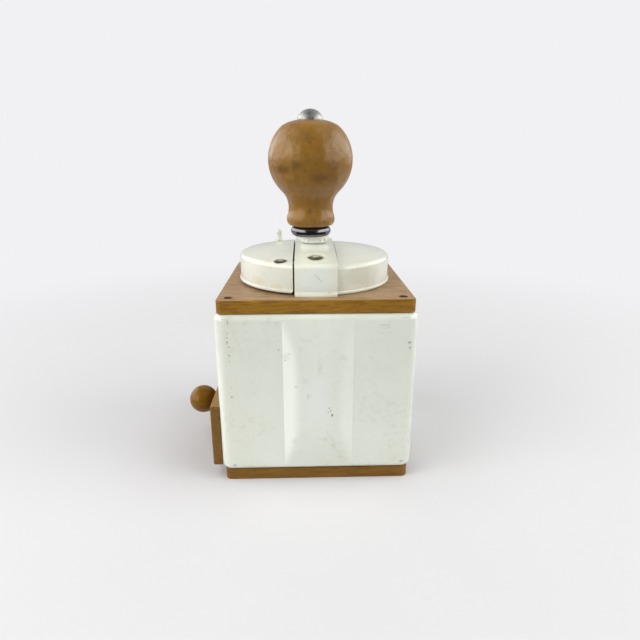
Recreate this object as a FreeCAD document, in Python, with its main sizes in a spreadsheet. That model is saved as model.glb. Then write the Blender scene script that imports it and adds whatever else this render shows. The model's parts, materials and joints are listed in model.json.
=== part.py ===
"""Box coffee grinder with a hand crank, a swing lid, a drawer and a conical burr mill.

Millimetres, +Z up. The origin is the middle of the face that the grinder stands on.
The drawer opens to -X, and the crank rests towards -Y, which is the front.
"""
import FreeCAD, Part
import math
import os
import re

import Sketcher
from FreeCAD import Placement, Rotation, Vector

DIMS = {
    # The case: a sheet steel box between two square beech plates.
    "plate_side": 118.0,
    "plate_corner": 3.5,
    "plate_edge": 0.5,
    "base_height": 8.0,
    "top_height": 8.3,
    "shell_side": 122.0,
    "shell_height": 104.2,
    "shell_corner": 7.0,
    "shell_roll": 4.0,
    "steel": 0.9,
    "rim_opening": 94.0,
    "panel_width": 43.0,
    "panel_shift": 1.0,
    "panel_flank": 8.5,
    "panel_end": 21.0,
    "panel_rise": 2.8,
    "panel_blend": 25.0,
    "post_side": 13.0,
    "post_spot": 52.1,
    "post_edge": 2.5,
    "seat": 0.1,
    "guide_width": 6.0,
    "guide_height": 12.0,
    # Screws: shank and head radii.
    "wood_screw": 1.8,
    "wood_head": 2.6,
    "wood_head_height": 2.4,
    "screw_length": 26.0,
    "slot": 0.9,
    # The drum cover, its bridge strap and the swing lid.
    "drum_radius": 49.9,
    "drum_sheet": 1.0,
    "drum_bend": 3.0,
    "crown_radius": 258.0,
    "cover_top": 143.0,
    "cover_edge": 8.0,
    "hem": 2.2,
    "hem_proud": 0.8,
    "lid_lift": 1.0,
    "lid_edge": 13.8,
    "lid_corner": 2.5,
    "strap_width": 25.6,
    "strap_sheet": 1.2,
    "strap_top": 144.9,
    "strap_leg": 52.5,
    "strap_lip": 0.9,
    "strap_bend": 3.2,
    "bridge_spot": 38.0,
    "bridge_screw": 2.0,
    "bridge_head": 4.3,
    "bridge_rise": 2.2,
    "dish_depth": 0.8,
    "dish_size": 38.0,
    "dimple": 4.9,
    "dimple_floor": 140.2,
    "pivot_across": 21.3,
    "pivot_along": 39.3,
    "pivot_screw": 1.6,
    "pivot_head": 3.6,
    "pivot_rise": 1.8,
    "pivot_dimple": 4.1,
    "pivot_floor": 138.7,
    "post_radius": 3.0,
    "pin_across": 24.9,
    "pin_along": 30.0,
    "pin_stem": 1.3,
    "pin_foot": 2.2,
    "pin_neck": 1.6,
    "pin_ball": 2.1,
    "pin_height": 8.8,
    # The hopper and the mill under it.
    "mouth_radius": 33.6,
    "funnel_sheet": 0.8,
    "funnel_flange": 41.2,
    "throat_radius": 20.5,
    "throat_height": 97.5,
    "housing_bottom": 71.0,
    "housing_wall": 28.5,
    "burr_seat": 24.5,
    "burr_bottom": 77.0,
    "burr_height": 17.5,
    "burr_teeth": 20,
    "cone_teeth": 18,
    "cone_bottom": 78.0,
    "cone_radius": 18.0,
    "cone_neck": 11.2,
    "burr_slant": 14.0,
    "yoke_width": 12.0,
    "yoke_thick": 5.4,
    "yoke_spot": 30.0,
    "yoke_screw": 1.5,
    "yoke_end": 8.0,
    "bush_radius": 6.0,
    # The spindle, its bearings, the grind adjuster and the crank.
    "spindle_radius": 4.0,
    "running": 0.05,
    "bearing_neck": 6.0,
    "collar_radius": 8.6,
    "shoulder": 104.2,
    "spring_foot": 121.5,
    "spindle_bottom": 57.0,
    "spindle_top": 161.0,
    "square_side": 5.6,
    "spring_radius": 6.9,
    "spring_wire": 0.6,
    "spring_turns": 4,
    "nut_radius": 9.5,
    "nut_bottom": 146.4,
    "nut_height": 6.0,
    "nut_flutes": 16,
    "arm_sheet": 1.2,
    "arm_bottom": 153.2,
    "arm_rise": 8.35,
    "arm_hub": 11.0,
    "arm_tip": 7.4,
    "crank_length": 90.1,
    "crank_angle": -2.2,
    # The wooden crank knob.
    "bolt_radius": 3.0,
    "rivet_radius": 4.0,
    "rivet_height": 0.5,
    "cap_radius": 6.1,
    "cap_rise": 4.9,
    "cap_edge": 0.7,
    "knob_foot": 168.1,
    "knob_top": 216.1,
    "crown_across": 13.2,
    "crown_flat": 6.6,
    "crown_arc": 18.0,
    "ball_radius": 20.1,
    "ball_height": 198.5,
    "waist_radius": 10.75,
    "waist_height": 176.5,
    "bead_radius": 11.7,
    "bead_height": 170.6,
    "bead_fall": 3.4,
    "ferrule_radius": 9.8,
    "ferrule_swell": 1.3,
    "ferrule_bottom": 163.05,
    "ferrule_gap": 0.7,
    # The drawer.
    "bay_width": 92.0,
    "bay_top": 47.0,
    "front_width": 108.0,
    "front_bottom": 8.0,
    "front_height": 41.9,
    "front_thick": 6.0,
    "front_gap": 0.5,
    "tray_width": 88.0,
    "tray_wall": 5.0,
    "tray_bottom": 9.3,
    "tray_height": 35.7,
    "tray_back": 52.0,
    "tray_floor": 3.0,
    "pull_radius": 10.0,
    "pull_reach": 14.8,
    "pull_neck": 5.2,
    "pull_screw": 1.75,
}

doc = FreeCAD.newDocument("coffee_grinder")
sheet = doc.addObject("Spreadsheet::Sheet", "dims")
for row, (alias, number) in enumerate(DIMS.items(), 1):
    sheet.set(f"A{row}", alias)
    sheet.set(f"B{row}", str(number))
    sheet.setAlias(f"B{row}", alias)
doc.recompute()

WORD = re.compile(r"[a-z]+(?:_[a-z]+)*")
NODES = []
ROUND = 360.0


def bound(formula):
    """The formula with the name of each dimension pointed at the sheet."""
    return WORD.sub(lambda m: "dims." + m.group() if m.group() in DIMS else m.group(), str(formula))


def value(formula):
    """What the formula comes to, in millimetres."""
    return float(sheet.evalExpression(str(formula)))


def bind(thing, name, formula):
    """Ties one property of a feature to a formula of the sheet."""
    thing.setExpression(name, bound(formula))


def node(thing):
    """Marks a finished sub-part: its label names its file."""
    NODES.append(thing)
    return thing


def new_body(name):
    body = doc.addObject("PartDesign::Body", name)
    body.Label = name
    return body


def place(thing, across="0", along="0", up="0", turn=None):
    """Puts a sub-part at its place in the grinder."""
    if turn is not None:
        thing.Placement = Placement(Vector(0, 0, 0), Rotation(Vector(*turn[0]), turn[1]))
    bind(thing, "Placement.Base.x", across)
    bind(thing, "Placement.Base.y", along)
    bind(thing, "Placement.Base.z", up)
    return thing


# Sketches


def square(half):
    """A square loop round the origin."""
    return box_loop(f"-({half})", f"-({half})", half, half)


def box_loop(left, low, right, high):
    return [(left, low), (right, low), (right, high), (left, high)]


def hexagon(flat):
    """A six-sided loop, flat to flat across the origin."""
    reach = f"({flat}) / sqrt(3)"
    return [(f"{reach} * cos({60 * i})", f"{reach} * sin({60 * i})") for i in range(6)]


def arc_between(start, end, radius):
    """The arc from start to end, which bulges to the right of the way there if the radius is positive."""
    run = end - start
    half = run.Length / 2
    side = Vector(run.y, -run.x, 0) / run.Length
    size = abs(radius)
    depth = math.sqrt(max(size * size - half * half, 0))
    sign = 1 if radius > 0 else -1
    centre = (start + end) / 2 - side * depth * sign
    first, last = (start, end) if sign > 0 else (end, start)
    low = math.atan2(first.y - centre.y, first.x - centre.x)
    high = math.atan2(last.y - centre.y, last.x - centre.x)
    if high <= low:
        high += 2 * math.pi
    return Part.ArcOfCircle(Part.Circle(centre, Vector(0, 0, 1), size), low, high)


def hold(sketch, edge, end, formulas, point):
    """Holds a point of the sketch by its two distances from the origin."""
    for kind, formula, distance in zip(("DistanceX", "DistanceY"), formulas, (point.x, point.y)):
        row = sketch.addConstraint(Sketcher.Constraint(kind, -1, 1, edge, end, distance))
        bind(sketch, f"Constraints[{row}]", formula)


def add_circle(sketch, across, up, radius):
    centre = Vector(value(across), value(up), 0)
    edge = sketch.addGeometry(Part.Circle(centre, Vector(0, 0, 1), value(radius)), False)
    hold(sketch, edge, 3, (across, up), centre)
    row = sketch.addConstraint(Sketcher.Constraint("Radius", edge, value(radius)))
    bind(sketch, f"Constraints[{row}]", radius)


def add_loop(sketch, corners):
    """A closed loop. A corner is (across, up), and a third entry is the radius of an arc that leads on."""
    points = [Vector(value(corner[0]), value(corner[1]), 0) for corner in corners]
    edges, starts = [], []
    for i, corner in enumerate(corners):
        start, end = points[i], points[(i + 1) % len(points)]
        bend = value(corner[2]) if len(corner) > 2 else 0
        shape = arc_between(start, end, bend) if bend else Part.LineSegment(start, end)
        edge = sketch.addGeometry(shape, False)
        edges.append(edge)
        starts.append(2 if bend < 0 else 1)
        if bend:
            row = sketch.addConstraint(Sketcher.Constraint("Radius", edge, abs(bend)))
            bind(sketch, f"Constraints[{row}]", f"abs({corner[2]})")
    for i, edge in enumerate(edges):
        following = (i + 1) % len(edges)
        sketch.addConstraint(
            Sketcher.Constraint("Coincident", edge, 3 - starts[i], edges[following], starts[following])
        )
        hold(sketch, edge, starts[i], corners[i][:2], points[i])


def sketch_on(body, role, *loops, height="0"):
    """A sketch on one of the body's own planes, moved out along the plane's normal by the height."""
    plane = next(f for f in body.Origin.OriginFeatures if f.Role == role)
    sketch = body.newObject("Sketcher::SketchObject", body.Name + "_sketch")
    sketch.AttachmentSupport = [(plane, "")]
    sketch.MapMode = "FlatFace"
    bind(sketch, "AttachmentOffset.Base.z", height)
    for loop in loops:
        if isinstance(loop, tuple):
            add_circle(sketch, *loop)
        else:
            add_loop(sketch, loop)
    return sketch


# Features


def pad(body, sketch, length, both=False, back=False):
    feature = body.newObject("PartDesign::Pad", body.Name + "_pad")
    feature.Profile = sketch
    feature.Midplane = both
    feature.Reversed = back
    bind(feature, "Length", length)
    return feature


def checked(feature):
    """Recomputes and makes sure that the feature could be made."""
    doc.recompute()
    if "Invalid" in feature.State or "Error" in feature.State:
        raise RuntimeError(f"{feature.Name}: {feature.getStatusString()}")
    return feature


def checked_cut(body, feature, before):
    """Recomputes a cut and makes sure that it took something away."""
    checked(feature)
    if body.Shape.Volume >= before - 1e-6:
        raise RuntimeError(feature.Name + " cuts nothing")
    return feature


def pocket(body, sketch, length=None, both=False, back=False):
    """Cuts the sketch out of the body: through all of it where no length is given."""
    doc.recompute()
    before = body.Shape.Volume
    feature = body.newObject("PartDesign::Pocket", body.Name + "_pocket")
    feature.Profile = sketch
    feature.Midplane = both
    feature.Reversed = back
    if length is None:
        feature.Type = "ThroughAll"
    else:
        bind(feature, "Length", length)
    return checked_cut(body, feature, before)


def revolve(body, sketch, axis="V_Axis"):
    feature = body.newObject("PartDesign::Revolution", body.Name + "_turned")
    feature.Profile = sketch
    feature.ReferenceAxis = (sketch, [axis])
    feature.Angle = ROUND
    return feature


def loft(body, sketches, cut=False):
    """Joins two outlines by flat or ruled sides, added or taken away."""
    doc.recompute()
    before = body.Shape.Volume
    kind = "Subtractive" if cut else "Additive"
    feature = body.newObject(f"PartDesign::{kind}Loft", body.Name + "_loft")
    feature.Profile = sketches[0]
    feature.Sections = sketches[1:]
    feature.Ruled = True
    if cut:
        return checked_cut(body, feature, before)
    return checked(feature)


def around(body, feature, count):
    """Repeats a feature in a ring about the body's own vertical axis."""
    axis = next(f for f in body.Origin.OriginFeatures if f.Role == "Z_Axis")
    pattern = body.newObject("PartDesign::PolarPattern", body.Name + "_ring")
    pattern.Originals = [feature]
    pattern.Axis = (axis, [""])
    pattern.Angle = ROUND
    bind(pattern, "Occurrences", count)
    body.Tip = pattern
    return checked(pattern)


def edge_names(feature, test):
    """The names of the edges for which the test on the edge holds."""
    doc.recompute()
    return [f"Edge{i}" for i, edge in enumerate(feature.Shape.Edges, 1) if test(edge)]


def round_off(body, feature, test, radius, kind="Fillet"):
    """Rounds, or bevels, the edges of a feature that the test picks."""
    names = edge_names(feature, test)
    if not names:
        raise RuntimeError(body.Name + " has no such edge")
    rounding = body.newObject("PartDesign::" + kind, body.Name + "_" + kind.lower())
    rounding.Base = (feature, names)
    bind(rounding, "Radius" if kind == "Fillet" else "Size", radius)
    return checked(rounding)


def upright(edge):
    return edge.BoundBox.XLength < 1e-3 and edge.BoundBox.YLength < 1e-3


def level_at(*heights):
    """A test for edges that lie flat at one of the heights."""
    levels = [value(height) for height in heights]

    def test(edge):
        box = edge.BoundBox
        return box.ZLength < 1e-3 and any(abs(box.ZMin - level) < 1e-3 for level in levels)

    return test


def turned(name, *loops):
    """A body turned about the vertical axis from outlines of (radius, height)."""
    body = new_body(name)
    revolve(body, sketch_on(body, "XZ_Plane", *loops))
    return body


def tube(name, inner, outer, low, high):
    """A plain turned sleeve or washer."""
    return turned(name, box_loop(inner, low, outer, high))


def group(name, source, spots):
    """One node of like solids: the source body linked to each of its places."""
    source.Label = name + "_one"
    links = []
    for across, along, up in spots:
        link = doc.addObject("App::Link", source.Name + "_at")
        link.LinkedObject = source
        place(link, across, along, up)
        links.append(link)
    compound = doc.addObject("Part::Compound", name)
    compound.Label = name
    compound.Links = links
    return compound


def four_corners(spot, up):
    return [(f"{x} * {spot}", f"{y} * {spot}", up) for x in (-1, 1) for y in (-1, 1)]


# The case

TOP_UNDERSIDE = "(base_height + shell_height)"
TOP_SURFACE = "(base_height + shell_height + top_height)"
SHELL_HALF = "shell_side / 2"


def plate(name, height, level, from_below):
    """A square beech plate with a countersunk screw hole near each corner."""
    body = new_body(name)
    slab = pad(body, sketch_on(body, "XY_Plane", square("plate_side / 2"), height=level), height)
    corners = round_off(body, slab, upright, "plate_corner")
    round_off(body, corners, level_at(level, f"{level} + {height}"), "plate_edge", "Chamfer")
    outer = level if from_below else f"{level} + {height}"
    shanks = sketch_on(body, "XY_Plane", *screw_circles("wood_screw + seat"), height=outer)
    pocket(body, shanks, back=from_below)
    heads = sketch_on(body, "XY_Plane", *screw_circles("wood_head + seat"), height=outer)
    pocket(body, heads, "wood_head_height + seat", back=from_below)
    return body


def base_plate():
    return node(plate("base_plate", "base_height", "0", from_below=True))


def top_plate():
    """The beech top, with the hopper's mouth, the bridge screws' holes and a hole for the lid's pivot."""
    body = plate("top_plate", "top_height", TOP_UNDERSIDE, from_below=False)
    circles = [("0", "0", "mouth_radius"), ("0", "bridge_spot", "bridge_screw + 2 * seat")]
    circles += [("0", "-bridge_spot", "bridge_screw + 2 * seat")]
    pocket(body, sketch_on(body, "XY_Plane", *circles, height=TOP_SURFACE))
    pivot = ("-pivot_across", "-pivot_along", "pivot_screw + seat")
    pocket(body, sketch_on(body, "XY_Plane", pivot, height=TOP_SURFACE), "top_height - 1.5")
    return node(body)


def corner_posts():
    """Four beech posts that both plates are screwed to."""
    low = "base_height + steel"
    length = "shell_height - 2 * steel"
    for x, side in ((-1, "left"), (1, "right")):
        for y, end in ((-1, "front"), (1, "back")):
            body = new_body(f"corner_post_{end}_{side}")
            post = pad(body, sketch_on(body, "XY_Plane", square("post_side / 2")), length)
            edges = round_off(body, post, upright, "post_edge", "Chamfer")
            round_off(body, edges, level_at("0", length), "post_edge - 0.3", "Chamfer")
            hole = ("0", "0", "wood_screw + seat")
            depth = "screw_length - top_height + 3"
            pocket(body, sketch_on(body, "XY_Plane", hole), depth, back=True)
            pocket(body, sketch_on(body, "XY_Plane", hole, height=length), depth)
            node(place(body, f"{x} * post_spot", f"{y} * post_spot", low))


def screw(name, shank, head, head_height, length, domed=False):
    """A slotted screw, its head's seat at the origin and its shank down."""
    edge = f"0.3 * {head_height}" if domed else f"{head_height} - 0.5"
    rise = f"({head_height} - {edge})"
    profile = [
        ("0", f"-({length})"),
        (shank, f"-({length})"),
        (shank, "0"),
        (head, "0"),
        (head, edge, f"({head} ^ 2 + {rise} ^ 2) / (2 * {rise})") if domed else (head, edge),
        ("0", head_height),
    ]
    body = turned(name, profile)
    cut = box_loop(f"-({head}) - 1", "-slot / 2", f"{head} + 1", "slot / 2")
    pocket(body, sketch_on(body, "XY_Plane", cut, height=head_height), f"{head_height} * 0.55")
    return body


def plate_screws():
    """The screws of the top plate from above and of the base plate from below."""
    top = screw("top_plate_screw", "wood_screw", "wood_head", "wood_head_height", "screw_length")
    node(group("top_plate_screws", top, four_corners("post_spot", TOP_SURFACE + " - wood_head_height")))
    low = screw("base_screw", "wood_screw", "wood_head", "wood_head_height - 0.3", "screw_length")
    doc.recompute()
    flipped = doc.addObject("Part::Mirroring", "base_screw_up")
    flipped.Source = low
    flipped.Normal = Vector(0, 0, 1)
    node(group("base_screws", flipped, four_corners("post_spot", "wood_head_height")))


def drawer_guides():
    """Two beech rails between the posts that keep the drawer straight."""
    for sign, side in ((-1, "front"), (1, "back")):
        body = new_body(f"drawer_guide_{side}")
        length = "2 * (post_spot - post_side / 2) - 0.4"
        loop = box_loop("-guide_width / 2", "0", "guide_width / 2", "guide_height")
        rail = pad(body, sketch_on(body, "YZ_Plane", loop), length, both=True)
        round_off(body, rail, level_at("guide_height"), "1", "Chamfer")
        node(place(body, "0", f"{sign} * (tray_width / 2 + 0.5 + guide_width / 2)", "base_height + steel"))


def body_shell():
    """The enamelled steel case: rolled shoulders, three embossed panels and the drawer's opening."""
    outside = pressed_block("shell_outside", "0", "shell_corner", "shell_roll", "Fillet")
    hollow = pressed_block("shell_hollow", "steel", "0.51 * shell_corner", "0.55 * shell_roll", "Chamfer")
    middle = "base_height + shell_height / 2"
    rim = sketch_on(hollow, "XY_Plane", square("rim_opening / 2"), height=middle)
    pad(hollow, rim, "shell_height + 2", both=True)
    bay = box_loop("-bay_width / 2", "tray_bottom - 0.3", "bay_width / 2", "bay_top")
    pad(hollow, sketch_on(hollow, "YZ_Plane", bay, height=f"-({SHELL_HALF}) - 1"), "shell_corner + 3")
    holes = sketch_on(hollow, "XY_Plane", *screw_circles("wood_screw + seat"), height=middle)
    pad(hollow, holes, "shell_height + 2", both=True)
    shell = doc.addObject("Part::Cut", "body_shell")
    shell.Label = "body_shell"
    shell.Base = outside
    shell.Tool = hollow
    return node(shell)


def pressed_block(name, inset, corner, roll, kind):
    """The case's outer form, or the space inside it where an inset is given."""
    body = new_body(name)
    low, height = f"base_height + {inset}", f"shell_height - 2 * {inset}"
    depth = f"{SHELL_HALF} - {inset}"
    block = pad(body, sketch_on(body, "XY_Plane", square(depth), height=low), height)
    corners = round_off(body, block, upright, corner, kind)
    round_off(body, corners, level_at(low, f"{low} + {height}"), roll, kind)
    for role, sign in (("XZ_Plane", 1), ("XZ_Plane", -1), ("YZ_Plane", 1)):
        emboss(body, role, sign, depth, blend=kind == "Fillet")
    return body


def emboss(body, role, sign, depth, blend):
    """A shallow hipped panel pressed outwards from one side, its crest blended in if asked."""
    low, high = "base_height + shell_roll", TOP_UNDERSIDE + " - shell_roll"
    left, right = "panel_shift - panel_width / 2", "panel_shift + panel_width / 2"
    foot = box_loop(left, low, right, high)
    crest = box_loop(
        f"{left} + panel_flank", f"{low} + panel_end", f"{right} - panel_flank", f"{high} - panel_end"
    )
    near = sketch_on(body, role, foot, height=f"{sign} * ({depth})")
    far = sketch_on(body, role, crest, height=f"{sign} * ({depth} + panel_rise)")
    panel = loft(body, [near, far])
    if not blend:
        return
    front = abs(value(f"{depth} + panel_rise"))

    def on_crest(edge):
        box = edge.BoundBox
        low_side, high_side = (box.YMin, box.YMax) if role == "XZ_Plane" else (-box.XMin, -box.XMax)
        return abs(low_side + sign * front) < 1e-3 and abs(high_side + sign * front) < 1e-3

    round_off(body, panel, on_crest, "panel_blend")


def screw_circles(radius):
    """A circle near each corner of the plates."""
    return [(f"{x} * post_spot", f"{y} * post_spot", radius) for x in (-1, 1) for y in (-1, 1)]


# The drum cover on top


def crown(radius, top):
    """The height of a crown at a radius from its middle."""
    return f"({top} - crown_radius + sqrt(crown_radius ^ 2 - ({radius}) ^ 2))"


def bent(wall, top, bend):
    """Two corners: where the bend leaves the wall, and where it meets the crown."""
    rise = f"sqrt((crown_radius - {bend}) ^ 2 - ({wall} - {bend}) ^ 2)"
    level = f"{top} - crown_radius + {rise}"
    reach = f"crown_radius * ({wall} - {bend}) / (crown_radius - {bend})"
    height = f"{top} - crown_radius + crown_radius * {rise} / (crown_radius - {bend})"
    return (wall, level, bend), (reach, height, "crown_radius")


def dome(name, wall, sheet, top, bend, foot):
    """A pressed sheet cover, turned: a wall and a crown, joined by a bend. The foot's outline leads in."""
    inner = f"({wall} - {sheet})"
    low, high = bent(inner, f"({top} - {sheet})", f"({bend} - {sheet})")
    across, up, size = high
    inside = [("0", f"{top} - {sheet}", "-crown_radius"), (across, up, f"-({bend} - {sheet})"), low[:2]]
    outside = [*bent(wall, f"({top})", bend), ("0", top)]
    return turned(name, inside + foot + outside)


def drum(name, low, top):
    """The whole drum as one pressed and hemmed steel cover, before it is cut into halves."""
    foot = [
        ("drum_radius - drum_sheet", low),
        ("drum_radius", low),
        ("drum_radius + hem_proud", f"{low} + 0.3 * hem"),
        ("drum_radius + hem_proud", f"{low} + 0.7 * hem"),
        ("drum_radius", f"{low} + hem"),
    ]
    return dome(name, "drum_radius", "drum_sheet", top, "drum_bend", foot)


def dish(body, across, along, top, depth):
    """Presses a shallow round dish into a crown: its ball stands on the crown's normal at the spot."""
    doc.recompute()
    before = body.Shape.Volume
    ball = body.newObject("PartDesign::SubtractiveSphere", body.Name + "_dish")
    plane = next(f for f in body.Origin.OriginFeatures if f.Role == "XY_Plane")
    ball.AttachmentSupport = [(plane, "")]
    ball.MapMode = "FlatFace"
    bind(ball, "Radius", "dish_size")
    out = f"(crown_radius - ({depth}) + dish_size) / crown_radius"
    bind(ball, "AttachmentOffset.Base.x", f"{across} * {out}")
    bind(ball, "AttachmentOffset.Base.y", f"{along} * {out}")
    reach = f"sqrt(crown_radius ^ 2 - ({across}) ^ 2 - ({along}) ^ 2)"
    bind(ball, "AttachmentOffset.Base.z", f"{top} - crown_radius + {reach} * {out}")
    return checked_cut(body, ball, before)


def fixed_cover():
    """The right half of the drum, which reaches under the strap and stays put."""
    body = drum("fixed_cover", TOP_SURFACE + " + seat", "cover_top")
    gone = box_loop("-drum_radius - 3", "-drum_radius - 3", "-cover_edge", "drum_radius + 3")
    pocket(body, sketch_on(body, "XY_Plane", gone), back=True)
    holes = [("0", "0", "collar_radius + 0.6"), ("0", "bridge_spot", "dimple + 2"), ("0", "-bridge_spot", "dimple + 2")]
    pocket(body, sketch_on(body, "XY_Plane", *holes), back=True)
    return node(body)


def swing_lid():
    """The left half of the drum, which swings out round a screw near its front."""
    low = TOP_SURFACE + " + seat + lid_lift"
    body = drum("swing_lid", low, "cover_top + lid_lift")
    reach = "drum_radius + 3"
    gone = [
        ("-lid_edge", f"{low} + lid_corner", "-lid_corner"),
        ("-lid_edge - lid_corner", low),
        ("-lid_edge - lid_corner", f"{low} - 1"),
        (reach, f"{low} - 1"),
        (reach, "cover_top + 9"),
        ("-lid_edge", "cover_top + 9"),
    ]
    pocket(body, sketch_on(body, "XZ_Plane", gone), f"2 * ({reach})", both=True)
    pivot = ("-pivot_across", "-pivot_along")
    dish(body, *pivot, "cover_top + lid_lift", "dish_depth - 0.3")
    boss = sketch_on(body, "XY_Plane", pivot + ("pivot_dimple + 0.5",), height="pivot_floor - 1.1")
    pad(body, boss, "1.5")
    pocket(body, sketch_on(body, "XY_Plane", pivot + ("pivot_dimple",), height="pivot_floor"), "4", back=True)
    pocket(body, sketch_on(body, "XY_Plane", pivot + ("pivot_screw + running",)), back=True)
    stem = ("-pin_across", "pin_along", "pin_stem + running")
    pocket(body, sketch_on(body, "XY_Plane", stem), back=True)
    return node(body)


def lid_pin():
    """The turned finger pin, riveted through the lid."""
    seat = crown("sqrt(pin_across ^ 2 + pin_along ^ 2)", "cover_top + lid_lift")
    profile = [
        ("0", "-2"),
        ("pin_stem + 0.6", "-2"),
        ("pin_stem + 0.9", "-1.4"),
        ("pin_stem", "-1.4"),
        ("pin_stem", "0.45"),
        ("pin_foot", "0.45"),
        ("pin_foot", "1.2"),
        ("pin_neck", "3.6"),
        ("pin_neck", "pin_height - pin_ball - sqrt(pin_ball ^ 2 - pin_neck ^ 2)", "pin_ball"),
        ("0", "pin_height"),
    ]
    body = turned("lid_pin", profile)
    return node(place(body, "-pin_across", "pin_along", seat))


def lid_pivot():
    """The sleeve that the lid turns on and the slotted screw through it."""
    low = TOP_SURFACE + " + seat"
    post = tube("lid_pivot_post", "pivot_screw + seat", "post_radius", low, "pivot_floor - 1.2")
    node(place(post, "-pivot_across", "-pivot_along"))
    length = f"pivot_floor - {TOP_SURFACE} + top_height - 2"
    body = screw("lid_pivot_screw", "pivot_screw", "pivot_head", "pivot_rise", length, domed=True)
    node(place(body, "-pivot_across", "-pivot_along", "pivot_floor + seat"))


def bridge_strap():
    """The pressed strap over the drum, front to back, with a dimple round each of its two screws."""
    inner = "strap_leg - strap_sheet"
    low = TOP_SURFACE + " + seat"
    foot = [
        (inner, f"{low} + 2"),
        (f"{inner} + strap_lip", low),
        ("strap_leg + strap_lip", low),
        ("strap_leg + strap_lip", f"{low} + 1"),
        ("strap_leg", f"{low} + 3"),
    ]
    body = dome("bridge_strap", "strap_leg", "strap_sheet", "strap_top", "strap_bend", foot)
    reach = "strap_leg + 4"
    sides = [
        box_loop("strap_width / 2", f"-({reach})", reach, reach),
        box_loop(f"-({reach})", f"-({reach})", "-strap_width / 2", reach),
    ]
    pocket(body, sketch_on(body, "XY_Plane", *sides), back=True)
    spots = [("0", "bridge_spot"), ("0", "-bridge_spot")]
    for spot in spots:
        dish(body, *spot, "strap_top", "dish_depth")
    bosses = [spot + ("dimple + 0.9",) for spot in spots]
    pad(body, sketch_on(body, "XY_Plane", *bosses, height="dimple_floor - strap_sheet"), "1.6")
    dimples = [spot + ("dimple",) for spot in spots]
    pocket(body, sketch_on(body, "XY_Plane", *dimples, height="dimple_floor"), "4", back=True)
    holes = [spot + ("bridge_screw + seat",) for spot in spots] + [("0", "0", "bearing_neck + running")]
    pocket(body, sketch_on(body, "XY_Plane", *holes), back=True)
    return node(body)


def bridge_fixings():
    """The two long screws that hold the strap to the mill, and their spacer sleeves."""
    low = f"{TOP_SURFACE} + seat + funnel_sheet + seat"
    spots = [("0", f"{sign} * bridge_spot", "0") for sign in (-1, 1)]
    sleeve = tube("bridge_spacer", "bridge_screw + 2 * seat", "4.5", low, "dimple_floor - strap_sheet - seat")
    node(group("bridge_spacers", sleeve, spots))
    length = f"dimple_floor - {TOP_UNDERSIDE} + 7"
    bolt = screw("bridge_screw", "bridge_screw", "bridge_head", "bridge_rise", length, domed=True)
    node(group("bridge_screws", bolt, [(x, y, "dimple_floor") for x, y, _ in spots]))


# The hopper and the mill


def hopper_funnel():
    """The steel funnel that hangs in the top plate by its flange."""
    low = TOP_SURFACE + " + seat"
    outer = "(mouth_radius - 0.2)"
    step = "0.7 * funnel_sheet"
    profile = [
        ("throat_radius", "throat_height - 2.3"),
        ("throat_radius + funnel_sheet", "throat_height - 2.3"),
        ("throat_radius + funnel_sheet", "throat_height"),
        (outer, f"{TOP_UNDERSIDE} + 1.8"),
        (outer, low),
        ("funnel_flange", low),
        ("funnel_flange", f"{low} + funnel_sheet"),
        (f"{outer} - funnel_sheet", f"{low} + funnel_sheet"),
        (f"{outer} - funnel_sheet", f"{TOP_UNDERSIDE} + 1.8 + {step}"),
        ("throat_radius", f"throat_height + {step}"),
    ]
    body = turned("hopper_funnel", profile)
    holes = [("0", f"{sign} * bridge_spot", "bridge_screw + 2 * seat") for sign in (-1, 1)]
    pocket(body, sketch_on(body, "XY_Plane", *holes), back=True)
    return node(body)


def burr_housing():
    """The cast iron bell that carries the fixed burr, screwed up against the top plate by two ears."""
    top = TOP_UNDERSIDE + " - seat"
    profile = [
        ("burr_seat - 3", "housing_bottom"),
        ("housing_wall + 4.5", "housing_bottom"),
        ("housing_wall + 4.5", "housing_bottom + 4.5"),
        ("housing_wall", "housing_bottom + 5.5"),
        ("housing_wall", "housing_bottom + 22"),
        ("bridge_spot", f"{top} - 5.6"),
        ("bridge_spot", top),
        ("mouth_radius + 0.6", top),
        ("mouth_radius + 0.6", f"{top} - 6"),
        ("burr_seat", f"{top} - 17"),
        ("burr_seat", "burr_bottom - seat"),
        ("burr_seat - 3", "burr_bottom - seat"),
    ]
    body = turned("burr_housing", profile)
    ears = [("0", f"{sign} * bridge_spot", "7.5") for sign in (-1, 1)]
    pad(body, sketch_on(body, "XY_Plane", *ears, height=top), "6", back=True)
    mouth = sketch_on(body, "XY_Plane", ("0", "0", "mouth_radius + 0.6"), height=top)
    pocket(body, mouth, "6")
    threads = [("0", f"{sign} * bridge_spot", "bridge_screw + running") for sign in (-1, 1)]
    pocket(body, sketch_on(body, "XY_Plane", *threads), back=True)
    bores = [(f"{sign} * yoke_spot", "0", "yoke_screw + running") for sign in (-1, 1)]
    pocket(body, sketch_on(body, "XY_Plane", *bores, height="housing_bottom"), "4.5", back=True)
    return node(body)


def outer_burr():
    """The fixed burr: a ring with a conical bore, cut with slanting teeth."""
    top = "burr_bottom + burr_height"
    lead = "burr_bottom + 12"
    profile = [
        ("cone_radius + 1.2", "burr_bottom"),
        ("burr_seat - seat", "burr_bottom"),
        ("burr_seat - seat", top),
        ("throat_radius", top),
        ("cone_radius - 2.4", lead),
    ]
    body = turned("outer_burr", profile)
    tooth = [
        groove_end(body, "burr_bottom - 0.1", "cone_radius + 0.4", "cone_radius + 2.4", "1.3", "0"),
        groove_end(body, f"{top} + 0.1", "throat_radius - 0.8", "throat_radius + 1.0", "1.6", "burr_slant"),
    ]
    around(body, loft(body, tooth, cut=True), "burr_teeth")
    return node(body)


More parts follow.
